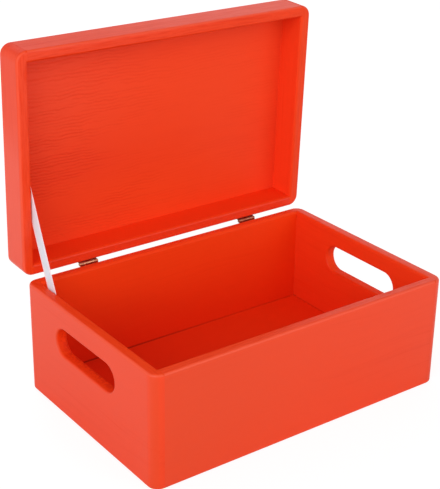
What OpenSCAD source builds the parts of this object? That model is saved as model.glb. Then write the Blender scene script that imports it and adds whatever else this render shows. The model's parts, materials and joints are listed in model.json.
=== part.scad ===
// Painted wooden storage box with a hinged tray lid, two hand holes and a ribbon stay.
// Millimetres, +Z up, origin in the middle of the underside of the floor board.
// The lid stands open, held by the taut ribbon, and closes by turning about +X.

/* [Box] */
// Outside width, along X
box_w = 300; // [220:1:420]
// Outside depth, along Y
box_d = 198; // [160:1:300]
// Height of the box up to its rim
box_h = 102; // [96:1:180]
// Thickness of the wall boards of the box and the lid
wall = 10; // [8:0.5:14]
// Thickness of the floor board
floor_t = 12; // [6:0.5:16]
// Gap between the floor board and the walls, a dark line in the box
floor_gap = 0.4; // [0.05:0.05:0.8]
// Radius of the upright outside corners
corner_r = 9.5; // [5:0.5:14]
// Round-over of the outside edges of the rims, the underside and the lid's top
edge_r = 2.5; // [1:0.25:4]
// Round-over of the inside edges of the rims
rim_r = 2.5; // [0.5:0.25:4]

/* [Lid] */
// Height of the lid
lid_h = 30; // [26:1:60]
// Gap between the rims when the lid is shut
lid_gap = 0.8; // [0.5:0.1:2]
// Angle of the open lid from shut, in degrees
lid_open = 88; // [75:1:100]
// Thickness of the lid's plywood panel
panel_t = 3; // [2:0.5:8]
// Width of the rebate ledge that carries the panel
panel_ledge = 5; // [3:0.5:7]
// Clearance round the panel and between boards that are only glued
board_gap = 0.05; // [0.02:0.01:0.2]

/* [Hand holes] */
// Length of a hand hole, end to end
hole_l = 90; // [70:1:110]
// Height of a hand hole
hole_h = 25; // [18:1:32]
// Mean height of the two hand holes' middles above the underside
hole_z = 71; // [50:1:76]
// How much higher the right hand hole lies than the left one
hole_lift = 3; // [-6:0.5:6]
// Distance of the left hand hole behind the middle, and of the right one in front of it
hole_shift = 2.5; // [-5:0.5:5]
// Round-over of a hand hole's edges, outside and inside
hole_r = 2; // [1:0.25:3.5]

/* [Hinges] */
// Distance of each hinge's middle from the middle of the box
hinge_x = 87; // [40:1:100]
// Length of a hinge along its pin
hinge_l = 18; // [14:1:40]
// Height of a leaf from the pin's axis
leaf_h = 7.5; // [6:0.5:12]
// Thickness of the leaf's sheet
leaf_t = 0.7; // [0.5:0.1:1.2]
// Diameter of the hinge pin
pin_d = 1.5; // [1:0.1:3]
// Radial running clearance between pin and knuckle
pin_gap = 0.05; // [0.02:0.01:0.1]
// Number of knuckles, of which the odd ones belong to the lid
knuckles = 3; // [3:2:7]
// Gap between neighbouring knuckles, and round a knuckle where the other leaf is coped
knuckle_gap = 0.15; // [0.1:0.05:0.6]
// How far each knuckle is curled round the pin, in degrees
curl = 290; // [270:5:300]
// Diameter of a pin's riveted head
pin_head_d = 2.2; // [1.8:0.1:4]
// Thickness of a pin's riveted head
pin_head_t = 0.4; // [0.2:0.1:1]

/* [Hinge screws] */
// Distance between the two screws of a leaf
screw_pitch = 12; // [8:0.5:24]
// Diameter of a screw's shank
screw_d = 1.8; // [1.2:0.1:3]
// Diameter of a screw's countersunk head
screw_head_d = 3; // [2.4:0.1:5]
// Length of a screw, with its head
screw_l = 8; // [5:0.5:9]
// Width of the driver slot
slot_w = 0.5; // [0.3:0.1:0.8]
// Depth of the driver slot
slot_t = 0.3; // [0.2:0.05:0.5]

/* [Ribbon] */
// Width of the ribbon
ribbon_w = 13; // [6:1:20]
// Thickness of the ribbon
ribbon_t = 0.5; // [0.3:0.1:1]
// Distance of the box tack behind the middle of the box
ribbon_box_y = 64.5; // [56:0.5:75]
// Depth of the box tack below the box's rim
ribbon_box_drop = 16; // [10:1:30]
// Distance of the lid tack behind the middle of the shut lid
ribbon_lid_y = 3; // [-40:1:20]
// Height of the lid tack above the shut lid's rim
ribbon_lid_rise = 16.5; // [8:0.5:20]
// Length of ribbon past each tack
ribbon_tail = 6; // [4:1:15]
// Clearance on each face of the ribbon
ribbon_gap = 0.1; // [0.05:0.05:0.3]

/* [Tacks] */
// Diameter of a tack's domed head
tack_head_d = 7; // [4:0.5:10]
// Height of a tack's dome
tack_dome = 1.6; // [1:0.1:3]
// Diameter of a tack's shank
tack_d = 1.2; // [0.8:0.1:2]
// Length of a tack's shank below its head
tack_l = 8; // [5:0.5:8.5]

/* [Brads] */
// Diameter of the brads that hold the boards
brad_d = 1.2; // [0.8:0.1:2]
// Length of a brad in a corner or in the floor
brad_l = 22; // [16:1:35]
// Length of a brad in the lid's panel
panel_brad_l = 12; // [8:1:18]
// Depth of a corner or floor brad's head below the outside face
brad_set = 3; // [2:0.5:5]
// Depth of a panel brad's head below the panel's top
panel_brad_set = 0.8; // [0.5:0.1:1.5]
// Clearance round a brad, a tack or a screw in its hole
nail_gap = 0.05; // [0.02:0.01:0.2]
// Brads in each upright corner of the box
box_corner_rows = 3; // [2:1:5]
// Brads in each upright corner of the lid
lid_corner_rows = 2; // [1:1:3]
// Brads along the front and along the rear, in the floor and in the panel
long_rows = 4; // [2:1:8]
// Brads along each side, in the floor and in the panel
short_rows = 3; // [2:1:6]
// Distance of the outermost brads from the ends of a board
brad_margin = 22; // [15:1:40]
// Distance of the outermost corner brads from a board's edges
corner_margin = 8; // [6:1:12]

/* [Hidden] */
$fn = 48;

paint = [0.91, 0.29, 0.18];
brass = [0.66, 0.47, 0.26];
steel = [0.62, 0.62, 0.64];
satin = [0.95, 0.93, 0.96];

// Cutters reach this far past the faces they open
over = 1;
// Inside of the walls
inner_w = box_w - 2 * wall;
inner_d = box_d - 2 * wall;
// Shut lid
lid_z = box_h + lid_gap;
lid_top = lid_z + lid_h;
panel_z = lid_top - panel_t;
panel_w = inner_w + 2 * panel_ledge;
panel_d = inner_d + 2 * panel_ledge;
// Hinges: the sheet is curled round the pin, and its back lies on the rear faces
knuckle_r = pin_d / 2 + pin_gap + leaf_t;
hinge_y = box_d / 2 + knuckle_r;
hinge_z = box_h + lid_gap / 2;
knuckle_l = (hinge_l - (knuckles - 1) * knuckle_gap) / knuckles;
cope_r = knuckle_r + knuckle_gap;
plate_top = sqrt(pow(cope_r, 2) - pow(knuckle_r - leaf_t, 2));
screw_z = (plate_top + leaf_h) / 2;
screw_head_t = (screw_head_d - screw_d) / 2;
// Ribbon: from the box tack straight to the tack in the open lid, as [y, z]
function opened_at(p) = let (y = p[0] - hinge_y, z = p[1] - hinge_z) [
    hinge_y + y * cos(lid_open) + z * sin(lid_open),
    hinge_z - y * sin(lid_open) + z * cos(lid_open)
];
box_tack_at = [ribbon_box_y, box_h - ribbon_box_drop];
lid_tack_shut = [ribbon_lid_y, lid_z + ribbon_lid_rise];
lid_tack_at = opened_at(lid_tack_shut);
ribbon_run = lid_tack_at - box_tack_at;
ribbon_span = norm(ribbon_run);
ribbon_tilt = atan2(ribbon_run[1], ribbon_run[0]);
ribbon_x = -inner_w / 2 + ribbon_gap;
tack_seat = ribbon_t + 2 * ribbon_gap;
dome_r = (pow(tack_head_d / 2, 2) + pow(tack_dome, 2)) / (2 * tack_dome);

// Evenly spaced places from one margin to the other, round the middle of a length
function spread(length, count, margin) =
    count == 1 ? [0] : [for (i = [0 : count - 1]) (length - 2 * margin) * (i / (count - 1) - 0.5)];

// Turns what is drawn for the shut lid into the open lid
module opened() {
    translate([0, hinge_y, hinge_z]) rotate([-lid_open, 0, 0])
        translate([0, -hinge_y, -hinge_z]) children();
}

// A child as it is, and its mirror image across the middle of the box
module both_sides() {
    children();
    mirror([1, 0, 0]) children();
}

// Outer form of the boards

// Outline of the box in plan, with its round corners
module plan_outline() {
    square([box_w, box_d - 2 * corner_r], center = true);
    square([box_w - 2 * corner_r, box_d], center = true);
    for (x = [-1, 1], y = [-1, 1])
        translate([x * (box_w / 2 - corner_r), y * (box_d / 2 - corner_r)]) circle(corner_r);
}

// What a round-over takes from a square edge at the origin
module round_over_waste() {
    difference() {
        translate([-edge_r, -edge_r]) square(edge_r + over);
        translate([-edge_r, -edge_r]) circle(edge_r);
    }
}

// The waste along one straight edge that faces +X
module edge_bar(length) {
    rotate([90, 0, 0]) linear_extrude(length, center = true) round_over_waste();
}

// The waste round a whole top edge at height 0
module edge_ring() {
    both_sides() translate([box_w / 2, 0, 0]) edge_bar(box_d - 2 * corner_r);
    for (turn = [90, -90])
        rotate(turn) translate([box_d / 2, 0, 0]) edge_bar(box_w - 2 * corner_r);
    both_sides() for (flip = [0, 1]) mirror([0, flip, 0])
        translate([box_w / 2 - corner_r, box_d / 2 - corner_r, 0])
            rotate_extrude(angle = 90) translate([corner_r, 0]) round_over_waste();
}

// A closed block of the box's outline, all its outside edges rounded
module block(height) {
    difference() {
        linear_extrude(height) plan_outline();
        translate([0, 0, height]) edge_ring();
        mirror([0, 0, 1]) edge_ring();
    }
}

// Half the rim's opening in section: it widens upwards by a quarter round
module rim_section(half) {
    difference() {
        translate([-half - rim_r, -rim_r]) square([2 * (half + rim_r), rim_r + over]);
        for (side = [-1, 1]) translate([side * (half + rim_r), -rim_r]) circle(rim_r);
    }
}

// Round-over of a rim's inside edge at height 0, mitred in the corners
module rim_flare() {
    intersection() {
        rotate([90, 0, 0]) linear_extrude(box_d, center = true) rim_section(inner_w / 2);
        rotate([90, 0, 90]) linear_extrude(box_w, center = true) rim_section(inner_d / 2);
    }
}

// Space of the left board, which runs the full depth
module left_zone(height) {
    translate([-box_w / 2 - over, -box_d / 2 - over, -over])
        cube([wall + over, box_d + 2 * over, height + 2 * over]);
}

// Space of the front board, which stands between the side boards
module front_zone(height) {
    translate([-inner_w / 2 + board_gap, -box_d / 2 - over, -over])
        cube([inner_w - 2 * board_gap, wall + over, height + 2 * over]);
}

// What the round-over of a hole's edge takes, the square edge being at the origin
module flare() {
    difference() {
        translate([-over, -over]) square(hole_r + over);
        translate([hole_r, hole_r]) circle(hole_r);
    }
}

// Half a hand hole in section, from its middle outwards: flared at both faces of the wall
module slot_half_section() {
    translate([0, -wall / 2 - over]) square([hole_h / 2, wall + 2 * over]);
    for (face = [0, 1]) mirror([0, face]) translate([hole_h / 2, -wall / 2]) flare();
}

// A slot with round ends through the left wall, its middle at a height
module hand_hole(height) {
    run = hole_l - hole_h;
    translate([-box_w / 2 + wall / 2, hole_shift, height]) rotate([0, 90, 0]) {
        rotate([90, 0, 0]) linear_extrude(run, center = true) {
            slot_half_section();
            mirror([1, 0]) slot_half_section();
        }
        for (end = [0, 180])
            rotate(end) translate([0, run / 2, 0]) rotate_extrude(angle = 180) slot_half_section();
    }
}

// Nails and screws, each drawn at its true size or larger by a gap as its hole

module brad(length, gap) {
    translate([0, 0, -gap]) cylinder(d = brad_d + 2 * gap, h = length + 2 * gap);
}

// Brads from a side board into the ends of the front and rear boards
module corner_brads(heights, gap) {
    both_sides() for (y = [-1, 1], z = heights)
        translate([-box_w / 2 + brad_set, y * (box_d - wall) / 2, z])
            rotate([0, 90, 0]) brad(brad_l, gap);
}

module box_corner_brad_set(gap) {
    corner_brads([for (z = spread(box_h - floor_t, box_corner_rows, corner_margin))
        (box_h + floor_t) / 2 + z], gap);
}

module lid_corner_brad_set(gap) {
    corner_brads([for (z = spread(lid_h - panel_t, lid_corner_rows, corner_margin))
        lid_z + (lid_h - panel_t) / 2 + z], gap);
}

// Brads through the walls into the edges of the floor
module floor_brad_set(gap) {
    both_sides() for (y = spread(inner_d, short_rows, brad_margin))
        translate([-box_w / 2 + brad_set, y, floor_t / 2]) rotate([0, 90, 0]) brad(brad_l, gap);
    for (x = spread(inner_w, long_rows, brad_margin), turn = [0, 180])
        rotate(turn) translate([x, -box_d / 2 + brad_set, floor_t / 2])
            rotate([-90, 0, 0]) brad(brad_l, gap);
}

// Brads through the panel into the ledges of the lid's boards
module panel_brad_set(gap) {
    head_z = lid_top - panel_brad_set;
    both_sides() for (y = spread(inner_d, short_rows, brad_margin))
        translate([(inner_w + panel_ledge) / 2, y, head_z]) rotate([180, 0, 0]) brad(panel_brad_l, gap);
    for (x = spread(inner_w, long_rows, brad_margin), y = [-1, 1])
        translate([x, y * (inner_d + panel_ledge) / 2, head_z])
            rotate([180, 0, 0]) brad(panel_brad_l, gap);
}

// Countersunk screw along -Z, its head's face at height 0; a hole for it is open above the head
module screw(gap) {
    tip = screw_d / 2;
    shank_r = screw_d / 2 + gap;
    head_r = screw_head_d / 2 + gap;
    rotate_extrude() {
        polygon([
            [0, -screw_l - gap], [shank_r, -screw_l + tip], [shank_r, -screw_head_t], [head_r, 0], [0, 0]
        ]);
        if (gap > 0) square([head_r, over]);
    }
}

// The driver slot in a screw's head
module screw_slot() {
    translate([0, 0, -slot_t / 2 + over / 2]) cube([screw_head_d + over, slot_w, slot_t + over], center = true);
}

// The screws of both box leaves, driven into the rear board along -Y
module at_box_screws() {
    for (x = [-hinge_x, hinge_x], s = [-0.5, 0.5])
        translate([x + s * screw_pitch, box_d / 2 + leaf_t, hinge_z - screw_z])
            rotate([-90, 0, 0]) children();
}

// The same screws in the shut lid's leaves, above the pin
module at_lid_screws() {
    translate([0, 0, 2 * hinge_z]) mirror([0, 0, 1]) at_box_screws() children();
}

// Tack driven into the left wall along -X, its seat on the ribbon
module tack_shank(gap) {
    rotate([0, -90, 0]) translate([0, 0, -tack_seat])
        cylinder(d = tack_d + 2 * gap, h = tack_l + tack_seat + gap);
}

module tack() {
    tack_shank(0);
    translate([tack_seat, 0, 0]) rotate([0, 90, 0]) rotate_extrude() intersection() {
        translate([0, tack_dome - dome_r]) circle(dome_r);
        square([tack_head_d / 2, tack_dome]);
    }
}

// Places a child at the box tack, and at the lid tack of the shut lid
module at_box_tack() {
    translate([-inner_w / 2, box_tack_at[0], box_tack_at[1]]) children();
}

module at_lid_tack() {
    translate([-inner_w / 2, lid_tack_shut[0], lid_tack_shut[1]]) children();
}

// Boards of the box

module box_front_form() {
    difference() {
        intersection() {
            block(box_h);
            front_zone(box_h);
        }
        translate([0, 0, box_h]) rim_flare();
        box_corner_brad_set(nail_gap);
        floor_brad_set(nail_gap);
    }
}

module box_front_board() {
    color(paint) box_front_form();
}

module box_rear_board() {
    color(paint) difference() {
        mirror([0, 1, 0]) box_front_form();
        at_box_screws() screw(nail_gap);
    }
}

// A side board as it stands on the left, with its hand hole at a height
module box_left_form(hole_height) {
    difference() {
        intersection() {
            block(box_h);
            left_zone(box_h);
        }
        translate([0, 0, box_h]) rim_flare();
        hand_hole(hole_height);
        box_corner_brad_set(nail_gap);
        floor_brad_set(nail_gap);
    }
}

module box_left_board() {
    color(paint) difference() {
        box_left_form(hole_z - hole_lift / 2);
        at_box_tack() tack_shank(nail_gap);
    }
}

module box_right_board() {
    color(paint) rotate(180) box_left_form(hole_z + hole_lift / 2);
}

module box_floor_board() {
    color(paint) difference() {
        translate([-inner_w / 2 + floor_gap, -inner_d / 2 + floor_gap, 0])
            cube([inner_w - 2 * floor_gap, inner_d - 2 * floor_gap, floor_t]);
        floor_brad_set(nail_gap);
    }
}

// Boards of the lid, drawn shut and then opened

// The lid's panel with a clearance all round, or its rebate with none
module panel_blank(gap) {
    translate([-panel_w / 2 + gap, -panel_d / 2 + gap, panel_z])
        cube([panel_w - 2 * gap, panel_d - 2 * gap, panel_t + (gap > 0 ? 0 : over)]);
}

// What every board of the lid has taken from it: rim round-over, rebate and nail holes
module lid_cuts() {
    translate([0, 0, lid_z]) mirror([0, 0, 1]) rim_flare();
    panel_blank(0);
    lid_corner_brad_set(nail_gap);
    panel_brad_set(nail_gap);
}

module lid_front_form() {
    difference() {
        translate([0, 0, lid_z]) intersection() {
            block(lid_h);
            front_zone(lid_h);
        }
        lid_cuts();
    }
}

module lid_left_form() {
    difference() {
        translate([0, 0, lid_z]) intersection() {
            block(lid_h);
            left_zone(lid_h);
        }
        lid_cuts();
    }
}

module lid_front_board() {
    color(paint) opened() lid_front_form();
}

module lid_rear_board() {
    color(paint) opened() difference() {
        mirror([0, 1, 0]) lid_front_form();
        at_lid_screws() screw(nail_gap);
    }
}

module lid_left_board() {
    color(paint) opened() difference() {
        lid_left_form();
        at_lid_tack() tack_shank(nail_gap);
    }
}

module lid_right_board() {
    color(paint) opened() mirror([1, 0, 0]) lid_left_form();
}

module lid_top_panel() {
    color(paint) opened() difference() {
        panel_blank(board_gap);
        panel_brad_set(nail_gap);
    }
}

// Hinges

// A leaf in section across its pin, which is at the origin: a flat sheet rolled round the pin
module leaf_section() {
    reach = 2 * knuckle_r;
    mouth = 540 - curl;
    difference() {
        circle(knuckle_r);
        circle(knuckle_r - leaf_t);
        polygon([[0, 0], [-reach, 0], [-reach, -reach], reach * [cos(mouth), sin(mouth)]]);
    }
    translate([-knuckle_r, -leaf_h]) square([leaf_t, leaf_h]);
}

// Start of the cope round the other leaf's knuckle i, along the pin
function cope_x(i) = -hinge_l / 2 + i * (knuckle_l + knuckle_gap) - knuckle_gap;

// A leaf below its pin, which lies along X at the origin; parity says which knuckles it has
module leaf(parity) {
    difference() {
        rotate([90, 0, 90]) linear_extrude(hinge_l, center = true) leaf_section();
        for (i = [1 - parity : 2 : knuckles - 1])
            translate([cope_x(i), 0, 0]) rotate([0, 90, 0])
                cylinder(r = cope_r, h = knuckle_l + 2 * knuckle_gap);
    }
}

module box_leaf(x) {
    difference() {
        translate([x, hinge_y, hinge_z]) leaf(0);
        at_box_screws() screw(nail_gap);
    }
}

module lid_leaf(x) {
    difference() {
        translate([x, hinge_y, hinge_z]) mirror([0, 0, 1]) leaf(1);
        at_lid_screws() screw(nail_gap);
    }
}

// Pin with a riveted head against each outer knuckle
module pin(x) {
    translate([x, hinge_y, hinge_z]) rotate([0, 90, 0]) {
        cylinder(d = pin_d, h = hinge_l, center = true);
        for (end = [0, 180])
            rotate([end, 0, 0]) translate([0, 0, hinge_l / 2]) cylinder(d = pin_head_d, h = pin_head_t);
    }
}

module left_hinge_box_leaf() {
    color(brass) box_leaf(-hinge_x);
}

module right_hinge_box_leaf() {
    color(brass) box_leaf(hinge_x);
}

module left_hinge_lid_leaf() {
    color(brass) opened() lid_leaf(-hinge_x);
}

module right_hinge_lid_leaf() {
    color(brass) opened() lid_leaf(hinge_x);
}

module left_hinge_pin() {
    color(brass) pin(-hinge_x);
}

module right_hinge_pin() {
    color(brass) pin(hinge_x);
}

module slotted_screw() {
    difference() {
        screw(0);
        screw_slot();
    }
}

module hinge_box_screws() {
    color(brass) at_box_screws() slotted_screw();
}

module hinge_lid_screws() {
    color(brass) opened() at_lid_screws() slotted_screw();
}

// Ribbon stay and its tacks

module lid_ribbon() {
    color(satin) difference() {
        translate([ribbon_x, box_tack_at[0], box_tack_at[1]]) rotate([ribbon_tilt, 0, 0])
            translate([0, -ribbon_tail, -ribbon_w / 2])
                cube([ribbon_t, ribbon_span + 2 * ribbon_tail, ribbon_w]);
        at_box_tack() tack_shank(nail_gap);
        opened() at_lid_tack() tack_shank(nail_gap);
    }
}

module ribbon_box_tack() {
    color(brass) at_box_tack() tack();
}

module ribbon_lid_tack() {
    color(brass) opened() at_lid_tack() tack();
}

// Brads, their heads set below the surface and filled over

module box_corner_brads() {
    color(steel) box_corner_brad_set(0);
}

module lid_corner_brads() {
    color(steel) opened() lid_corner_brad_set(0);
}

module floor_brads() {
    color(steel) floor_brad_set(0);
}

module lid_panel_brads() {
    color(steel) opened() panel_brad_set(0);
}

box_front_board();
box_rear_board();
box_left_board();
box_right_board();
box_floor_board();
lid_front_board();
lid_rear_board();
lid_left_board();
lid_right_board();
lid_top_panel();
left_hinge_box_leaf();
left_hinge_lid_leaf();
left_hinge_pin();
right_hinge_box_leaf();
right_hinge_lid_leaf();
right_hinge_pin();
hinge_box_screws();
hinge_lid_screws();
lid_ribbon();
ribbon_box_tack();
ribbon_lid_tack();
box_corner_brads();
lid_corner_brads();
floor_brads();
lid_panel_brads();
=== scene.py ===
"""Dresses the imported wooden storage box: orange-red paint over grained boards, bronzed brass
hinges and tacks, a satin ribbon, and a plain white studio seen from the photograph's side."""

import json
import math
from typing import NamedTuple

import bpy
import numpy as np
from mathutils import Matrix, Vector


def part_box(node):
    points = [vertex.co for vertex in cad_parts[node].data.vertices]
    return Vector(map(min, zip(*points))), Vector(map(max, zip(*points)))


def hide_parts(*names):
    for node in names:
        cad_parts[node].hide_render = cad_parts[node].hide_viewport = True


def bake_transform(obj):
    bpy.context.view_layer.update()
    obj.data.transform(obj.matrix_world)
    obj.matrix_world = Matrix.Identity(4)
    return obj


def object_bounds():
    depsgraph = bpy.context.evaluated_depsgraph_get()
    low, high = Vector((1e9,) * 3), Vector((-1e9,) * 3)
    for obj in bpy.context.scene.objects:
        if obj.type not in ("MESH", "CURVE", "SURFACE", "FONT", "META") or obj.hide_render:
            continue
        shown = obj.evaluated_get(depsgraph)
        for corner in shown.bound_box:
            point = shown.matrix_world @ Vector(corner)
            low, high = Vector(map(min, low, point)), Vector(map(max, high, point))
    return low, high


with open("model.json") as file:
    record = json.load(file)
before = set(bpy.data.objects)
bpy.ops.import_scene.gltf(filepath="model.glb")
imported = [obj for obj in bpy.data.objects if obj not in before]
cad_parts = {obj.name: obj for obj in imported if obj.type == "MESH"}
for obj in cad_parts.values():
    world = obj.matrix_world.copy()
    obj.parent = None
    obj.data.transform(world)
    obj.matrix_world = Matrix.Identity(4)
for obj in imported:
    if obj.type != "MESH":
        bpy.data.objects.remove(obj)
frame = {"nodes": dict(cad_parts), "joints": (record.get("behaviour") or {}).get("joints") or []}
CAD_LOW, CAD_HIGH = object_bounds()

bl_info = {
    "name": "Painted Storage Box",
    "version": (1, 0, 0),
    "blender": (4, 5, 0),
    "location": "View3D > Sidebar > Storage Box",
    "description": "Paint, metal finishes, ribbon and studio for a wooden storage box with a hinged lid",
    "category": "Object",
}

MM = 0.001

# The lid's joint: its pin, and the turn that takes the open lid of the frame to its shut place
HINGE = frame["joints"][0]
PIN = Vector(HINGE["pos_m"])
SHUT_TURN = Matrix.Rotation(math.radians(HINGE["range_deg"][1]), 3, "X")

# Top of the box, and the hand holes: the height of their middle and their half sizes with rounded edges
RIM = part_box("box_front_board")[1].z
HOLE_MIDDLE = 71 * MM
HOLE_HALF_HEIGHT = 17 * MM
HOLE_HALF_LENGTH = 50 * MM

# Rows that turn a place in the box into one in the timber: along the grain, across it, through the board
GRAIN_ALONG_WIDTH = Matrix(((1, 0, 0), (0, 0, 1), (0, -1, 0)))
GRAIN_ALONG_DEPTH = Matrix(((0, 1, 0), (0, 0, 1), (1, 0, 0)))
GRAIN_LYING_FLAT = Matrix(((1, 0, 0), (0, 1, 0), (0, 0, 1)))

# Cosines between which a surface counts as end grain, rim, a rim's rounded edge and a rounded corner
END_FACING = (0.45, 0.85)
RIM_FACING = (0.5, 0.9)
RIM_EDGE_FACING = (0.15, 0.5, 0.8, 0.98)
CORNER_FACING = (0.15, 0.45, 0.8, 1.0)

# Spots a metre of the marks in timber, paint, metal and satin
BEND_SPOTS = 7
SWAY_SPOTS = 9
PATCH_SPOTS = 11
CLUSTER_SPOTS = 20
RIPPLE_SPOTS = 85
BREAK_SPOTS = 170
SATIN_SPOTS = 260
ROUTER_SPOTS = 280
PATINA_SPOTS = 300
PEEL_SPOTS = 650
SAW_SPOTS = 700
PORE_SPOTS = 1500
ROLLING_SPOTS = 2600
SCRATCH_SPOTS = 3000

# How far each mark darkens the paint
FIBRE_SHADE = 0.6
RING_SHADE = 0.25
PATCH_SHADE = 0.25
SAW_SHADE = 0.25
END_SHADE = 0.5


class Board(NamedTuple):
    """One board and its paint. Most values are shares from 0 to 1. A pair holds the first and the last end
    along the grain."""
    node: str
    # Rows that turn a place into the timber, and the board's place along a common timber in metres
    lie: Matrix
    shift: float
    # How far the grain shows, and its fibres a metre
    grain: float = 0.45
    fibres: float = 340
    # Gloss of the inner face, the outer face and the rim, and the stretch over which the pairs change
    inside: float = 0.95
    outside: tuple = (0.95, 0.95)
    rim: tuple = (0.95, 0.95)
    change: tuple = (-120 * MM, 120 * MM)
    # Gloss that the end grain drinks, and saw marks on the faces, which all rims have
    ends: float = 0.5
    rough: float = 0.0
    # Chalky paint, which on the lid's panel also paints a sheen, and a share of painted shade as dark as
    # inside the box
    chalk_and_sheen: float = 0.0
    painted_shade: float = 0.0
    # Dull paint with painted shade where a corner turns, and painted shade on the face at the first end
    dull_and_shade: float = 0.0
    first_end_shade: float = 0.0


BOX_BOARDS = (
    Board("box_front_board", GRAIN_ALONG_WIDTH, 0.31, rim=(0.75, 1.0), first_end_shade=0.5),
    Board("box_rear_board", GRAIN_ALONG_WIDTH, 1.17, inside=0.25),
    Board("box_left_board", GRAIN_ALONG_DEPTH, 2.43, rim=(0.4, 0.8), ends=0.12, dull_and_shade=0.5),
    Board("box_right_board", GRAIN_ALONG_DEPTH, 3.71, inside=1.0, ends=0.12, chalk_and_sheen=0.15, dull_and_shade=0.5),
    Board("box_floor_board", GRAIN_LYING_FLAT, 4.29, inside=0.4, outside=(0.4, 0.4)),
)
LID_BOARDS = (
    Board("lid_front_board", GRAIN_ALONG_WIDTH, 5.63, grain=1.5, fibres=200, inside=0.7,
          outside=(0.42, 0.95), rim=(1.0, 0.5), change=(-140 * MM, 90 * MM), rough=0.7),
    # The lid's rear board is darkened all over by a half share of painted shade
    Board("lid_rear_board", GRAIN_ALONG_WIDTH, 6.87, inside=0.25, chalk_and_sheen=0.1, painted_shade=0.5),
    Board("lid_left_board", GRAIN_ALONG_DEPTH, 7.19, grain=0.9, fibres=240, outside=(0.68, 1.0),
          change=(-45 * MM, 5 * MM), ends=0.7, rough=0.25),
    Board("lid_right_board", GRAIN_ALONG_DEPTH, 8.53, inside=1.0, outside=(0.75, 0.75), rim=(0.35, 0.35),
          ends=0.7, chalk_and_sheen=0.25),
)
LID_PANEL = Board("lid_top_panel", GRAIN_LYING_FLAT, 9.97, inside=0.38, chalk_and_sheen=0.15)
HINGE_NODES = (
    "left_hinge_box_leaf", "left_hinge_lid_leaf", "left_hinge_pin",
    "right_hinge_box_leaf", "right_hinge_lid_leaf", "right_hinge_pin",
)
SCREW_NODES = ("hinge_box_screws", "hinge_lid_screws")
TACK_NODES = ("ribbon_box_tack", "ribbon_lid_tack")
BRAD_NODES = ("box_corner_brads", "lid_corner_brads", "floor_brads", "lid_panel_brads")


class Term:
    """A shader socket in an expression: + - * / ** and abs add Math nodes to its graph."""

    def __init__(self, graph, socket):
        self.graph = graph
        self.socket = socket

    def math(self, operation, *others):
        return self.graph.add("ShaderNodeMath", {"operation": operation}, dict(enumerate((self, *others))))

    def math_after(self, operation, other):
        return self.graph.add("ShaderNodeMath", {"operation": operation}, {0: other, 1: self})

    def __add__(self, other):
        return self.math("ADD", other)

    def __sub__(self, other):
        return self.math("SUBTRACT", other)

    def __mul__(self, other):
        return self.math("MULTIPLY", other)

    def __truediv__(self, other):
        return self.math("DIVIDE", other)

    def __pow__(self, other):
        return self.math("POWER", other)

    def __radd__(self, other):
        return self.math_after("ADD", other)

    def __rsub__(self, other):
        return self.math_after("SUBTRACT", other)

    def __rmul__(self, other):
        return self.math_after("MULTIPLY", other)

    def __rtruediv__(self, other):
        return self.math_after("DIVIDE", other)

    def __abs__(self):
        return self.math("ABSOLUTE")


class Graph:
    """A node tree that is filled by expressions."""

    def __init__(self, tree):
        self.tree = tree
        tree.nodes.clear()

    def add(self, kind, settings=None, inputs=None, output=0):
        """Adds a node, sets it up, feeds its sockets with values or terms and returns one output."""
        node = self.tree.nodes.new(kind)
        for key, value in (settings or {}).items():
            setattr(node, key, value)
        for key, value in (inputs or {}).items():
            if isinstance(value, Term):
                self.tree.links.new(value.socket, node.inputs[key])
            else:
                node.inputs[key].default_value = value
        return Term(self, node.outputs[output]) if node.outputs else None

    def turned(self, vector, rotation=Matrix.Identity(3), location=(0, 0, 0), scale=(1, 1, 1)):
        """The vector scaled, turned and then moved."""
        return self.add("ShaderNodeMapping", {"vector_type": "POINT"}, {
            "Vector": vector, "Rotation": rotation.to_euler("XYZ"), "Location": location, "Scale": scale,
        })

    def noise(self, vector, scale, detail=2.0, stretch=(1, 1, 1), roughness=0.5):
        """Smooth noise from 0 to 1, with scale spots a metre, stretched along each axis."""
        spread = self.turned(vector, scale=[scale * s for s in stretch])
        return self.add("ShaderNodeTexNoise", {}, {
            "Vector": spread, "Scale": 1.0, "Detail": detail, "Roughness": roughness,
        })

    def join(self, *parts):
        """A vector of three numbers."""
        return self.add("ShaderNodeCombineXYZ", {}, dict(enumerate(parts)))

    def split(self, vector):
        """The three numbers of a vector."""
        parts = self.add("ShaderNodeSeparateXYZ", {}, {"Vector": vector}).socket.node
        return [Term(self, socket) for socket in parts.outputs]

    def step(self, value, low, high):
        """0 below low, 1 above high, smooth between them."""
        return self.add("ShaderNodeMapRange", {"interpolation_type": "SMOOTHSTEP"}, {
            "Value": value, "From Min": low, "From Max": high,
        })

    def fade(self, value, low, high):
        """1 below low, 0 above high, smooth between them."""
        return 1 - self.step(value, low, high)

    def band(self, value, low, full, last_full, high):
        """1 from full to last_full, 0 below low and above high, smooth between them."""
        return self.step(value, low, full) * self.fade(value, last_full, high)

    def blend(self, share, first, second):
        """A colour between two, by share."""
        return self.add("ShaderNodeMix", {"data_type": "RGBA"}, {0: share, 6: first, 7: second}, output=2)

    def bump(self, height, depth, strength=1.0):
        """A normal bent by a height from 0 to 1 that stands for depth metres."""
        return self.add("ShaderNodeBump", {}, {"Height": height, "Distance": depth, "Strength": strength})

    def end(self, shader, kind="ShaderNodeOutputMaterial"):
        """Makes a shader the surface of the material or the world."""
        self.add(kind, {}, {"Surface": shader})


def new_material(name):
    """A material with an empty graph, and the graph."""
    material = bpy.data.materials.new(name)
    material.use_nodes = True
    return material, Graph(material.node_tree)


def give(node_name, material):
    """Puts one material on all of a frame node's faces."""
    mesh = frame["nodes"][node_name].data
    mesh.materials.clear()
    mesh.materials.append(material)


def rgba(colour):
    """A colour as a socket takes it."""
    return (*colour, 1.0)


def between(first, last, share):
    """A number or term between two, by share."""
    return first + (last - first) * share


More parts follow.
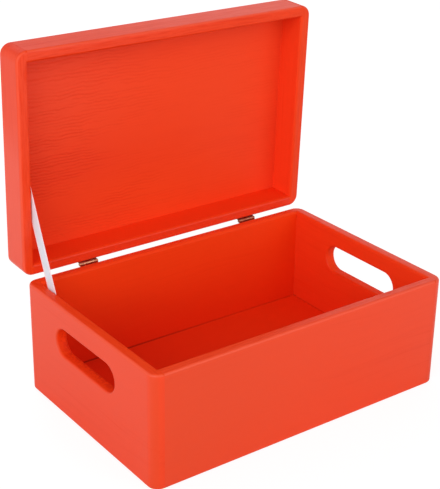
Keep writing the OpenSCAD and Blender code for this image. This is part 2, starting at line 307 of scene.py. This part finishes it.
def timber_place(graph, board, in_lid):
    """Object coordinates turned into the timber of one board, and the way that its surface faces there.
    The open lid is first turned shut, and the shift along the grain gives each board its own timber."""
    turn = SHUT_TURN if in_lid else Matrix.Identity(3)
    place = graph.add("ShaderNodeTexCoord", output="Object")
    facing = graph.add("ShaderNodeTexCoord", output="Normal")
    offset = board.lie @ (PIN - turn @ PIN) + Vector((board.shift, 0, 0))
    return graph.turned(place, board.lie @ turn, offset), graph.turned(facing, board.lie @ turn)


def shade_and_joint_masks(graph):
    """Masks inside the box, each from 0 to 1: the depth inside it, which carries painted shade that is
    weaker towards the right; the walls of its hand holes; the painted shade on those walls, mostly in the
    left hole and broken up by router marks; and the joint round the floor.
    beyond = max(|x| - a, |y| - b) is the distance past the floor board's edge."""
    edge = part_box("box_floor_board")[1]
    place = graph.add("ShaderNodeTexCoord", output="Object")
    x, y, z = graph.split(place)
    sideways = abs(graph.split(graph.add("ShaderNodeTexCoord", output="Normal"))[0])
    beyond = (abs(x) - edge.x).math("MAXIMUM", abs(y) - edge.y)
    inside = graph.fade(beyond, 0.8 * MM, 2.5 * MM) * graph.step(z, edge.z - 3 * MM, edge.z - 1 * MM)
    # Painted shade: darker with depth below the rim, less towards the right
    depth = inside * graph.fade(z, edge.z, RIM) * (1 - 0.4 * graph.step(x, -120 * MM, 130 * MM))

    hole = graph.fade(abs(z - HOLE_MIDDLE), HOLE_HALF_HEIGHT, HOLE_HALF_HEIGHT + 5 * MM)
    hole = hole * graph.fade(abs(y), HOLE_HALF_LENGTH, HOLE_HALF_LENGTH + 10 * MM)
    hole = hole * graph.step(abs(x), edge.x, edge.x + 1 * MM) * graph.fade(sideways, 0.3, 0.95)
    routed = graph.step(graph.noise(place, ROUTER_SPOTS, 3), 0.4, 0.6)
    # Painted shade on the hole walls: most in the left hole away from its outer face, little in the right
    # hole
    hole_shade = hole * (1 - 0.6 * graph.step(0 - x, edge.x, CAD_HIGH.x))
    hole_shade = hole_shade * (1 - 0.85 * graph.step(x, 0, 10 * MM)) * (1 - 0.5 * routed)

    joint = inside * graph.step(beyond, -1.5 * MM, -0.3 * MM)
    joint = joint * graph.fade(z, edge.z + 0.2 * MM, edge.z + 1.4 * MM)
    joint = joint * (1 - 0.85 * graph.step(x, -90 * MM, 100 * MM))
    return depth, hole, hole_shade, joint


def paint_skin(graph, place):
    """Pores along the grain that show through the paint, and the fine peel of its skin."""
    return graph.noise(place, PORE_SPOTS, 2, (0.05, 1, 1)), graph.noise(place, PEEL_SPOTS, 1)


def board_colour(board, colour, paint):
    """A colour of the paint as it is on one board, chalkier and darker with painted shade by the board's
    shares.
    """
    chalky_and_sheen = Vector(colour).lerp(Vector(paint.chalky_and_sheen), board.chalk_and_sheen)
    return rgba(chalky_and_sheen.lerp(Vector(paint.painted_shade), board.painted_shade))


def satin_paint(graph, colour, coat, relief, paint):
    """Ends a graph in paint whose clear skin has the weight coat over pigment with the given relief."""
    graph.end(graph.add("ShaderNodeBsdfPrincipled", {}, {
        "Base Color": colour,
        "Roughness": paint.under_roughness,
        "Specular IOR Level": paint.under_gloss,
        "Coat Weight": coat,
        "Coat IOR": paint.ior,
        "Coat Roughness": paint.roughness,
        "Normal": graph.bump(relief, paint.relief),
    }))


def painted_timber(board, in_lid, paint):
    """Satin paint over softwood. Growth rings are circles round a pith line beside the board,
    r = |(across, through) - pith| with a slow bend, cut at every ring_pitch. Late wood and fibres stand
    up through the paint and darken it, saw marks cut into the rims, and end grain drinks the gloss, which
    also changes along the board. The paint is dull at corners, where it also carries painted shade, and
    painted shade darkens the first end of some faces and the inside of the box. A painted highlight lies on
    the outer edges of a rim."""
    material, graph = new_material(f"paint_{board.node}")
    place, facing = timber_place(graph, board, in_lid)
    along, across, through = graph.split(place)
    facing_along, facing_across, facing_through = graph.split(facing)
    end_grain = graph.step(abs(facing_along), *END_FACING) * board.ends
    corner = graph.band(abs(facing_along), *CORNER_FACING)
    rim = graph.step(abs(facing_across), *RIM_FACING)
    rim_edge = graph.band(abs(facing_across), *RIM_EDGE_FACING)
    inward = graph.step(0 - through * facing_through, 10 * MM, 50 * MM)
    outward = graph.step(through * facing_through, 0, 20 * MM)
    later = graph.step(along - board.shift, *board.change)
    # Painted highlight: a paler paint along the outer rounded edges of the rims
    painted_edge_highlight = rim_edge * outward
    if not in_lid:
        painted_edge_highlight = painted_edge_highlight * graph.step(across, RIM - 6 * MM, RIM - 4 * MM)

    bend = (graph.noise(place, BEND_SPOTS, stretch=(0.7, 1, 1)) - 0.5) * paint.bend
    # The shift also spreads the piths of the boards
    pith = paint.pith_across * math.sin(board.shift * 7)
    radius = ((across - pith + bend) ** 2 + (through + paint.pith_depth) ** 2) ** 0.5
    late_wood = (radius / paint.ring_pitch).math("FRACT") ** 4
    fibre = graph.noise(graph.join(along, across + bend, through), board.fibres, 4, (0.022, 1, 1), 0.62)
    patches = graph.noise(place, PATCH_SPOTS, 3, (0.45, 1, 1))
    pores, peel = paint_skin(graph, place)
    sawn = graph.step(graph.noise(place, SAW_SPOTS, 3, (0.07, 1, 1), 0.6), 0.45, 0.62)
    sawn = sawn * between(board.rough, 1, rim)

    thin_paint = graph.step(patches, 0.38, 0.66)
    line = graph.step(fibre, 0.5, 0.78) * thin_paint
    grain = line * FIBRE_SHADE + late_wood * RING_SHADE * thin_paint + patches * PATCH_SHADE
    sunk = grain * board.grain + sawn * SAW_SHADE + end_grain * END_SHADE
    light = board_colour(board, paint.colour, paint)
    dark = board_colour(board, paint.shade, paint)
    colour = graph.blend(sunk, light, dark)
    # Corners are dulled partly by end grain and partly by painted shade; the first end of a face gets
    # painted shade
    dull_and_shade = corner * board.dull_and_shade + (1 - later) ** 2 * (1 - rim) * board.first_end_shade
    colour = graph.blend(dull_and_shade, colour, rgba(paint.dull_and_shade))
    # Painted highlight on the outer rounded edges
    colour = graph.blend(painted_edge_highlight * 0.5, colour, rgba(paint.painted_edge_highlight))

    gloss = between(between(*board.outside, later), board.inside, inward)
    gloss = between(gloss, between(*board.rim, later), rim)
    coat = gloss * (1 - end_grain - 0.5 * line * board.grain - 0.3 * sawn)
    coat = coat * (1 - 0.8 * rim_edge * (1 - outward))
    if not in_lid:
        depth, hole, hole_shade, joint = shade_and_joint_masks(graph)
        # Painted shade: darker paint deeper inside the box and on the walls of the hand holes
        colour = graph.blend(depth.math("MAXIMUM", hole_shade), colour, rgba(paint.painted_shade))
        # The joint colour darkens the dark joint round the floor and also paints the deepest shade in the
        # hand holes
        colour = graph.blend(joint * 0.55 + hole_shade ** 3 * 0.35, colour, rgba(paint.joint))
        coat = coat * (1 - 0.9 * hole)
    relief = late_wood * 0.35 + fibre * 0.7 + pores * 0.25 + peel * 0.25 - sawn * 1.2
    satin_paint(graph, colour, coat, relief, paint)
    return material


def painted_veneer(board, paint):
    """Satin paint over the veneer of the lid's panel. Growth lines lie at every line_pitch of
    across + sway + ripple. They stand up in broken clusters, most of them at the left, where a pale chalky
    tint paints a sheen. Painted light keeps the paint paler towards the front edge, the top of the open lid,
    and painted shade darkens the left end away from it."""
    material, graph = new_material(f"paint_{board.node}")
    place, _ = timber_place(graph, board, True)
    along, across, _ = graph.split(place)
    left = graph.fade(along - board.shift, -150 * MM, 30 * MM)
    right_edge = graph.step(along - board.shift, 100 * MM, 140 * MM)
    front = graph.fade(across, -90 * MM, 50 * MM)

    sway = (graph.noise(place, SWAY_SPOTS, stretch=(0.5, 1, 1)) - 0.5) * paint.bend * 0.6
    ripple = (graph.noise(place, RIPPLE_SPOTS, stretch=(0.75, 1, 1)) - 0.5) * paint.line_pitch * 1.7
    ring = ((across + sway + ripple) / paint.line_pitch).math("FRACT")
    ridge = graph.band(ring, 0.25, 0.6, 0.65, 1.0)
    clusters = graph.step(graph.noise(place, CLUSTER_SPOTS, 3, (0.4, 1.6, 1)), 0.33, 0.55)
    breaks = graph.step(graph.noise(place, BREAK_SPOTS, 2, (0.12, 1, 1)), 0.34, 0.56)
    line = ridge * clusters * breaks * (0.15 + 0.85 * left)
    patches = graph.noise(place, PATCH_SPOTS, 3, (0.3, 1.4, 1))
    pores, peel = paint_skin(graph, place)

    # Painted light: the patches darken less towards the front edge, the top of the open lid
    thin_paint = graph.step(patches, 0.35, 0.7) * (1 - 0.7 * front)
    # Painted shade darkens the left end away from the front edge
    sunk = line * 0.9 + thin_paint * 0.4 + left * (1 - front) * 0.3
    colour = graph.blend(sunk, rgba(paint.colour), rgba(paint.shade))
    # A pale chalky tint: a constant share per board, and towards the left a painted sheen, strongest near
    # the front edge
    chalk_and_sheen = board.chalk_and_sheen + 0.85 * left * (0.25 + 0.75 * front) + 0.3 * right_edge
    colour = graph.blend(chalk_and_sheen, colour, rgba(paint.chalky_and_sheen))
    relief = line * 4.5 + pores * 0.2 + peel * 0.2
    satin_paint(graph, colour, board.inside * (1 - 0.8 * line), relief, paint)
    return material


def bronzed_brass(name, metal, seed, rubbed, extra_brown):
    """Brass browned by a patina, less where it is rubbed and more by an extra brown share, with fine rolling
    marks.
    """
    material, graph = new_material(name)
    place = graph.add("ShaderNodeTexCoord", output="Object")
    place = graph.turned(place, location=(seed, 0, 0))
    cloud = graph.noise(place, PATINA_SPOTS, detail=4)
    marks = graph.noise(place, ROLLING_SPOTS, stretch=(0.08, 1, 1), detail=2)
    patina = graph.step(cloud + 0.3 * (marks - 0.5), 0.2, 0.8) * (1 - rubbed) + extra_brown
    graph.end(graph.add("ShaderNodeBsdfPrincipled", {}, {
        "Base Color": graph.blend(patina, rgba(metal.brass), rgba(metal.patina)),
        "Metallic": 1.0,
        "Roughness": metal.roughness + 0.18 * patina + 0.08 * (marks - 0.5),
        "Normal": graph.bump(marks * 0.6 + cloud * 0.4, metal.relief),
    }))
    return material


def drawn_wire(name, metal):
    """Bright drawn steel wire with fine scratches."""
    material, graph = new_material(name)
    place = graph.add("ShaderNodeTexCoord", output="Object")
    marks = graph.noise(place, SCRATCH_SPOTS, detail=2)
    graph.end(graph.add("ShaderNodeBsdfPrincipled", {}, {
        "Base Color": graph.blend(marks, rgba(metal.wire), rgba(metal.wire_dark)),
        "Metallic": 1.0,
        "Roughness": 0.3 + 0.15 * marks,
        "Normal": graph.bump(marks, metal.relief),
    }))
    return material


def satin_weave(name, ribbon):
    """White satin: floats run along the ribbon, crossed by fine wefts, between two firmer selvedges, whose
    paler, pinker colour paints a highlight along both edges.
    Its UV map holds metres across and along."""
    material, graph = new_material(name)
    place = graph.add("ShaderNodeTexCoord", output="UV")
    across, along, _ = graph.split(place)
    turn = 2 * math.pi
    warp = (across * (turn / ribbon.warp_pitch)).math("SINE") * 0.5 + 0.5
    weft = (along * (turn / ribbon.weft_pitch)).math("SINE") * 0.5 + 0.5
    edge = ribbon.width / 2
    selvedge = graph.step(abs(across), edge - ribbon.selvedge, edge - ribbon.selvedge / 3)
    cloud = graph.noise(place, SATIN_SPOTS, stretch=(1, 0.25, 1), detail=3)
    # The selvedge colour paints a highlight along both edges of the ribbon
    tone = graph.step(selvedge * 0.8 + cloud * 0.3 + warp * 0.1, 0.0, 1.0)
    graph.end(graph.add("ShaderNodeBsdfPrincipled", {}, {
        "Base Color": graph.blend(tone, rgba(ribbon.colour), rgba(ribbon.selvedge_highlight)),
        "Roughness": 0.42 + 0.16 * cloud,
        "Sheen Weight": ribbon.sheen,
        "Sheen Roughness": ribbon.sheen_roughness,
        "Normal": graph.bump(warp * 0.5 + weft * 0.3 + selvedge * 0.5, ribbon.weave_depth, 0.7),
    }))
    return material


def grid_mesh(name, points, uv):
    """A mesh from points[i, j] of a surface that closes on itself in j, capped at both ends of i."""
    rows, columns = points.shape[:2]
    index = np.arange(rows * columns).reshape(rows, columns)
    around = np.roll(index, -1, axis=1)
    quads = np.stack([index[:-1], around[:-1], around[1:], index[1:]], axis=-1).reshape(-1, 4)
    faces = [*quads.tolist(), index[0, ::-1].tolist(), index[-1].tolist()]
    mesh = bpy.data.meshes.new(name)
    mesh.from_pydata(points.reshape(-1, 3).tolist(), [], faces)
    mesh.update()
    corners = np.empty(len(mesh.loops), dtype=np.int32)
    mesh.loops.foreach_get("vertex_index", corners)
    layer = mesh.uv_layers.new(name="UVMap")
    layer.uv.foreach_set("vector", uv.reshape(-1, 2)[corners].astype(np.float32).ravel())
    mesh.shade_smooth()
    return mesh


def middle(node):
    """The middle of a node's box."""
    low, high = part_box(node)
    return np.array((low + high) / 2)


def ribbon_points(ribbon):
    """The ribbon's skin: an oval section, |a/w|^4 + |t/h|^4 = 1, carried from the box tack to the lid tack
    along a line that bows by bow * sin(pi s) and runs on past each tack."""
    start, end = middle("ribbon_box_tack"), middle("ribbon_lid_tack")
    low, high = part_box("lid_ribbon")
    start[0] = end[0] = (low.x + high.x) / 2
    span = np.linalg.norm(end - start)
    run = (end - start) / span
    side = np.cross(run, (1.0, 0, 0))
    s = np.linspace(-ribbon.tail, span + ribbon.tail, ribbon.rows)
    bow = ribbon.bow * np.sin(np.pi * np.clip(s / span, 0, 1))
    angle = np.linspace(0, 2 * np.pi, ribbon.columns, endpoint=False)
    round_off = (np.abs(np.cos(angle)) ** 4 + np.abs(np.sin(angle)) ** 4) ** -0.25
    across = ribbon.width / 2 * round_off * np.cos(angle)
    thick = ribbon.thickness / 2 * round_off * np.sin(angle)
    middle_line = start + s[:, None] * run + bow[:, None] * side
    section = across[:, None] * side + thick[:, None] * np.array((1.0, 0, 0))
    points = middle_line[:, None] + section[None]
    uv = np.stack(np.broadcast_arrays(across[None], s[:, None]), axis=-1)
    return points, uv, start, end


def colour_property(name, description, default):
    return bpy.props.FloatVectorProperty(
        name=name, description=description, default=default, subtype="COLOR", size=3, min=0, max=1)


def length_property(name, description, default):
    return bpy.props.FloatProperty(
        name=name, description=description, default=default, unit="LENGTH", precision=5)


def number_property(name, description, default):
    return bpy.props.FloatProperty(name=name, description=description, default=default, precision=3)


def place_property(name, description, default):
    return bpy.props.FloatVectorProperty(
        name=name, description=description, default=default, subtype="TRANSLATION", size=3)


def angle_property(name, description, degrees):
    return bpy.props.FloatProperty(
        name=name, description=description, default=math.radians(degrees), subtype="ANGLE")


class PaintSettings(bpy.types.PropertyGroup):
    """Paint of the boards and the timber under it"""
    colour: colour_property("Paint", "Colour of the paint", (0.98, 0.058, 0.004))
    shade: colour_property("Sunk paint", "Colour where the paint sinks into the grain", (0.82, 0.03, 0.003))
    # Painted shade: the darker red that stands in for the shade inside the box, in its left hand hole and on
    # the lid's rear board
    painted_shade: colour_property("Deep paint", "Colour inside the box and in its hand holes", (0.85, 0.028, 0.003))
    # Dull paint that is also painted shade at the corners and at the left end of the front
    dull_and_shade: colour_property("Dull paint", "Colour at corners and left on the front", (0.84, 0.06, 0.007))
    # Painted highlight: the paler paint along the rims' outer rounded edges
    painted_edge_highlight: colour_property("Worn paint", "Colour on the worn outer edges of the rims", (1.0, 0.11, 0.045))
    # Also used for the deepest painted shade in the left hand hole
    joint: colour_property("Joint", "Colour in the joint round the floor", (0.3, 0.006, 0.002))
    # Chalky paint, which on the lid's panel also paints a sheen
    chalky_and_sheen: colour_property("Chalky paint", "Colour where the paint is thin", (0.95, 0.077, 0.027))
    roughness: number_property("Roughness", "Roughness of the satin paint", 0.42)
    ior: number_property("IOR", "Refractive index of the paint", 1.42)
    under_gloss: number_property("Gloss below", "Gloss of the pigment under the paint's skin", 0.08)
    under_roughness: number_property("Roughness below", "Roughness of the pigment under that skin", 0.62)
    relief: length_property("Relief", "Depth of the grain that stands through the paint", 0.06 * MM)
    ring_pitch: length_property("Ring pitch", "Distance between growth rings", 3.4 * MM)
    line_pitch: length_property("Line pitch", "Distance between growth lines on the lid's panel", 3.0 * MM)
    bend: length_property("Bend", "How far the fibres and rings stray", 26 * MM)
    pith_depth: length_property("Pith depth", "Distance of the pith behind the board", 45 * MM)
    pith_across: length_property("Pith offset", "Greatest offset of the pith across the board", 30 * MM)


class MetalSettings(bpy.types.PropertyGroup):
    """Finishes of the hinges, screws, tacks and brads"""
    brass: colour_property("Brass", "Colour of the rubbed brass", (0.62, 0.31, 0.18))
    patina: colour_property("Patina", "Colour of the browned brass", (0.32, 0.1, 0.06))
    wire: colour_property("Wire", "Colour of the bright wire", (0.6, 0.6, 0.62))
    wire_dark: colour_property("Dull wire", "Colour of the dull wire", (0.35, 0.35, 0.37))
    rubbed: number_property("Rubbed", "How far the heads of screws and tacks are rubbed bright", 0.7)
    extra_brown: number_property("Tarnish", "How much browner the right hinge is", 0.35)
    roughness: number_property("Roughness", "Roughness of the rubbed brass", 0.2)
    relief: length_property("Relief", "Depth of the rolling marks", 0.01 * MM)


class RibbonSettings(bpy.types.PropertyGroup):
    """The ribbon that holds the lid open"""
    width: length_property("Width", "Width of the ribbon", 13 * MM)
    thickness: length_property("Thickness", "Thickness of the ribbon", 0.45 * MM)
    tail: length_property("Tail", "Length of ribbon past each tack", 6 * MM)
    bow: length_property("Bow", "How far the taut ribbon bows", 0.8 * MM)
    held: number_property("Held share", "Share of the span that stays straight beside each tack", 0.1)
    rows: bpy.props.IntProperty(name="Rows", description="Points along the ribbon", default=160)
    columns: bpy.props.IntProperty(name="Columns", description="Points round the ribbon", default=32)
    colour: colour_property("Satin", "Colour of the satin floats", (0.81, 0.91, 1.0))
    # Painted highlight: a paler, pinker colour along the ribbon's edges
    selvedge_highlight: colour_property("Selvedge", "Colour of the selvedges", (1.0, 0.88, 0.93))
    selvedge: length_property("Selvedge width", "Width of a selvedge", 3 * MM)
    warp_pitch: length_property("Warp pitch", "Distance between warp floats", 0.5 * MM)
    weft_pitch: length_property("Weft pitch", "Distance between wefts", 0.4 * MM)
    weave_depth: length_property("Weave depth", "Depth of the weave", 0.05 * MM)
    sheen: number_property("Sheen", "Sheen of the satin", 0.5)
    sheen_roughness: number_property("Sheen roughness", "Roughness of that sheen", 0.4)


class StudioSettings(bpy.types.PropertyGroup):
    """Camera, floor and lights"""
    aim: place_property("Aim", "Point that the camera looks at", (-0.00441, 0.01841, 0.12924))
    azimuth: angle_property("Azimuth", "Turn of the camera round the box", -36.540)
    elevation: angle_property("Elevation", "Height of the camera as an angle", 24.071)
    roll: angle_property("Roll", "Turn of the camera about its own axis", 0.984)
    distance: length_property("Distance", "Distance of the camera from its aim", 1.06648)
    lens: number_property("Lens", "Focal length in millimetres for a 36 mm frame", 91.622)
    floor_size: length_property("Floor size", "Side of the floor", 12.0)
    floor_colour: colour_property("Floor", "Colour of the floor", (0.82, 0.82, 0.82))
    floor_glow: number_property("Floor glow", "Level of the white veil over the floor as it is seen", 1.22)
    floor_veil: number_property("Floor veil", "Share of that veil over the floor with its shadow", 0.7)
    world: number_property("World", "Level of the white all round at the horizon, less above", 0.98)
    overhead: number_property("Overhead", "Share of that level straight above", 0.2)
    key_power: number_property("Key", "Power of the large lamp at the left front, in watts", 17.2)
    key_place: place_property("Key place", "Place of the lamp at the left front", (-1.7, -1.0, 1.2))
    key_size: length_property("Key size", "Side of the lamp at the left front", 1.4)
    fill_power: number_property("Fill", "Power of the large lamp at the right front, in watts", 9.5)
    fill_place: place_property("Fill place", "Place of the lamp at the right front", (0.9, -2.0, 1.1))
    fill_size: length_property("Fill size", "Side of the lamp at the right front", 1.4)
    back_power: number_property("Back", "Power of the large lamp behind the lid, in watts", 10.0)
    back_place: place_property("Back place", "Place of the lamp behind the lid", (0.1, 1.8, 1.6))
    back_size: length_property("Back size", "Side of the lamp behind the lid", 1.2)


def settings_of(context):
    """The storage box's settings in the scene."""
    return context.scene.storage_box


class StorageBoxSettings(bpy.types.PropertyGroup):
    """All settings of the storage box"""
    paint: bpy.props.PointerProperty(type=PaintSettings)
    metal: bpy.props.PointerProperty(type=MetalSettings)
    ribbon: bpy.props.PointerProperty(type=RibbonSettings)
    studio: bpy.props.PointerProperty(type=StudioSettings)


class STORAGEBOX_OT_paint_box(bpy.types.Operator):
    """Paint the boards of the box"""
    bl_idname = "storagebox.paint_box"
    bl_label = "Paint the Box"

    def execute(self, context):
        for board in BOX_BOARDS:
            give(board.node, painted_timber(board, False, settings_of(context).paint))
        return {"FINISHED"}


class STORAGEBOX_OT_paint_lid(bpy.types.Operator):
    """Paint the boards and the panel of the lid"""
    bl_idname = "storagebox.paint_lid"
    bl_label = "Paint the Lid"

    def execute(self, context):
        for board in LID_BOARDS:
            give(board.node, painted_timber(board, True, settings_of(context).paint))
        give(LID_PANEL.node, painted_veneer(LID_PANEL, settings_of(context).paint))
        return {"FINISHED"}


class STORAGEBOX_OT_finish_metal(bpy.types.Operator):
    """Finish the hinges, screws, tacks and brads"""
    bl_idname = "storagebox.finish_metal"
    bl_label = "Finish the Metal"

    def execute(self, context):
        metal = settings_of(context).metal
        for seed, node in enumerate(HINGE_NODES + SCREW_NODES + TACK_NODES):
            rubbed = 0.0 if node in HINGE_NODES else metal.rubbed
            # Only the right hinge gets the extra brown share, which makes it darker
            extra_brown = metal.extra_brown if node.startswith("right_hinge") else 0.0
            give(node, bronzed_brass(f"brass_{node}", metal, seed, rubbed, extra_brown))
        for node in BRAD_NODES:
            give(node, drawn_wire(f"wire_{node}", metal))
        return {"FINISHED"}


class STORAGEBOX_OT_weave_ribbon(bpy.types.Operator):
    """Weave the ribbon between the two tacks"""
    bl_idname = "storagebox.weave_ribbon"
    bl_label = "Weave the Ribbon"

    def execute(self, context):
        ribbon = settings_of(context).ribbon
        points, uv, start, end = ribbon_points(ribbon)
        piece = bpy.data.objects.new("satin_ribbon", grid_mesh("satin_ribbon", points, uv))
        context.scene.collection.objects.link(piece)
        piece.data.materials.append(satin_weave("satin_ribbon", ribbon))
        fold = ribbon.held * (end - start)
        start + fold
        end - fold
        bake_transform(piece)
        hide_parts("lid_ribbon")
        length = np.linalg.norm(end - start) + 2 * ribbon.tail
        return {"FINISHED"}


def place_camera(scene, studio):
    """Camera on a sphere round its aim, rolled about its own axis."""
    turn, rise = studio.azimuth, studio.elevation
    back = Vector((math.sin(turn) * math.cos(rise), -math.cos(turn) * math.cos(rise), math.sin(rise)))
    right = Vector((math.cos(turn), math.sin(turn), 0))
    upright = Matrix((right, back.cross(right), back)).transposed()
    data = bpy.data.cameras.new("camera")
    data.lens = studio.lens
    camera = bpy.data.objects.new("camera", data)
    camera.matrix_world = Matrix.Translation(Vector(studio.aim) + back * studio.distance) @ (
        upright @ Matrix.Rotation(studio.roll, 3, "Z")).to_4x4()
    scene.collection.objects.link(camera)
    scene.camera = camera


def seen_directly(graph, mirrored=1.0):
    """1 for what the camera sees, straight or through glass, and the share mirrored for what gloss shows."""
    camera, glass, gloss = (graph.add("ShaderNodeLightPath", output=f"Is {name} Ray")
                            for name in ("Camera", "Transmission", "Glossy"))
    return camera.math("MAXIMUM", glass).math("MAXIMUM", gloss * mirrored)


def lay_floor(scene, studio):
    """Pale floor that shows the box's shadow, whitened where it is seen directly; what gloss mirrors of it
    whitens with the distance from the box, like a paper sweep."""
    half = studio.floor_size / 2
    mesh = bpy.data.meshes.new("floor")
    corners = [(-half, -half, 0), (half, -half, 0), (half, half, 0), (-half, half, 0)]
    mesh.from_pydata(corners, [], [(0, 1, 2, 3)])
    floor = bpy.data.objects.new("floor", mesh)
    scene.collection.objects.link(floor)
    material, graph = new_material("floor")
    paper = graph.add("ShaderNodeBsdfDiffuse", {}, {"Color": rgba(studio.floor_colour)})
    glow = graph.add("ShaderNodeEmission", {}, {"Strength": studio.floor_glow})
    x, y, _ = graph.split(graph.add("ShaderNodeTexCoord", output="Object"))
    beside = (abs(x) - CAD_HIGH.x).math("MAXIMUM", 0.0)
    before = (abs(y) - CAD_HIGH.y).math("MAXIMUM", 0.0)
    sweep = graph.step((beside ** 2 + before ** 2) ** 0.5, -50 * MM, 350 * MM)
    graph.end(graph.add("ShaderNodeMixShader", {}, {
        0: seen_directly(graph, sweep) * studio.floor_veil, 1: paper, 2: glow,
    }))
    mesh.materials.append(material)


def light_world(scene, studio):
    """White all round, falling off towards the zenith as 1 - (1 - overhead) z^2, and full white where it is
    seen directly."""
    world = bpy.data.worlds.new("studio")
    world.use_nodes = True
    scene.world = world
    graph = Graph(world.node_tree)
    direct = seen_directly(graph)
    height = graph.split(graph.add("ShaderNodeTexCoord", output="Generated"))[2].math("MAXIMUM", 0.0)
    strength = direct + (1 - direct) * (1 - (1 - studio.overhead) * height ** 2) * studio.world
    graph.end(graph.add("ShaderNodeBackground", {}, {"Strength": strength}), "ShaderNodeOutputWorld")


def hang_lamp(scene, name, power, place, size):
    """Large soft lamp that faces the middle of the box."""
    data = bpy.data.lights.new(name, "AREA")
    data.energy = power
    data.shape = "SQUARE"
    data.size = size
    lamp = bpy.data.objects.new(name, data)
    lamp.location = place
    aim = (CAD_LOW + CAD_HIGH) / 2
    lamp.rotation_euler = (aim - Vector(place)).to_track_quat("-Z", "Y").to_euler()
    scene.collection.objects.link(lamp)


class STORAGEBOX_OT_build_studio(bpy.types.Operator):
    """Build the camera, the floor and the lights"""
    bl_idname = "storagebox.build_studio"
    bl_label = "Build the Studio"

    def execute(self, context):
        scene, studio = context.scene, settings_of(context).studio
        scene.view_settings.view_transform = "Standard"
        place_camera(scene, studio)
        lay_floor(scene, studio)
        light_world(scene, studio)
        hang_lamp(scene, "key_lamp", studio.key_power, studio.key_place, studio.key_size)
        hang_lamp(scene, "fill_lamp", studio.fill_power, studio.fill_place, studio.fill_size)
        hang_lamp(scene, "back_lamp", studio.back_power, studio.back_place, studio.back_size)
        return {"FINISHED"}


OPERATORS = (
    STORAGEBOX_OT_build_studio,
    STORAGEBOX_OT_paint_box,
    STORAGEBOX_OT_paint_lid,
    STORAGEBOX_OT_finish_metal,
    STORAGEBOX_OT_weave_ribbon,
)


class STORAGEBOX_PT_sidebar(bpy.types.Panel):
    """Sidebar panel that lists the steps and the settings"""
    bl_idname = "STORAGEBOX_PT_sidebar"
    bl_label = "Storage Box"
    bl_space_type = "VIEW_3D"
    bl_region_type = "UI"
    bl_category = "Storage Box"

    def draw(self, context):
        settings = settings_of(context)
        for operator in OPERATORS:
            self.layout.operator(operator.bl_idname)
        for group in (settings.paint, settings.metal, settings.ribbon, settings.studio):
            box = self.layout.box()
            for key in group.__annotations__:
                box.prop(group, key)


GROUPS = (PaintSettings, MetalSettings, RibbonSettings, StudioSettings, StorageBoxSettings)
CLASSES = (*GROUPS, *OPERATORS, STORAGEBOX_PT_sidebar)


def register():
    for cls in CLASSES:
        bpy.utils.register_class(cls)
    bpy.types.Scene.storage_box = bpy.props.PointerProperty(type=StorageBoxSettings)


def unregister():
    del bpy.types.Scene.storage_box
    for cls in reversed(CLASSES):
        bpy.utils.unregister_class(cls)


def main():
    register()
    bpy.ops.storagebox.build_studio()
    bpy.ops.storagebox.paint_box()
    bpy.ops.storagebox.paint_lid()
    bpy.ops.storagebox.finish_metal()
    bpy.ops.storagebox.weave_ribbon()


if __name__ == "__main__":
    main()
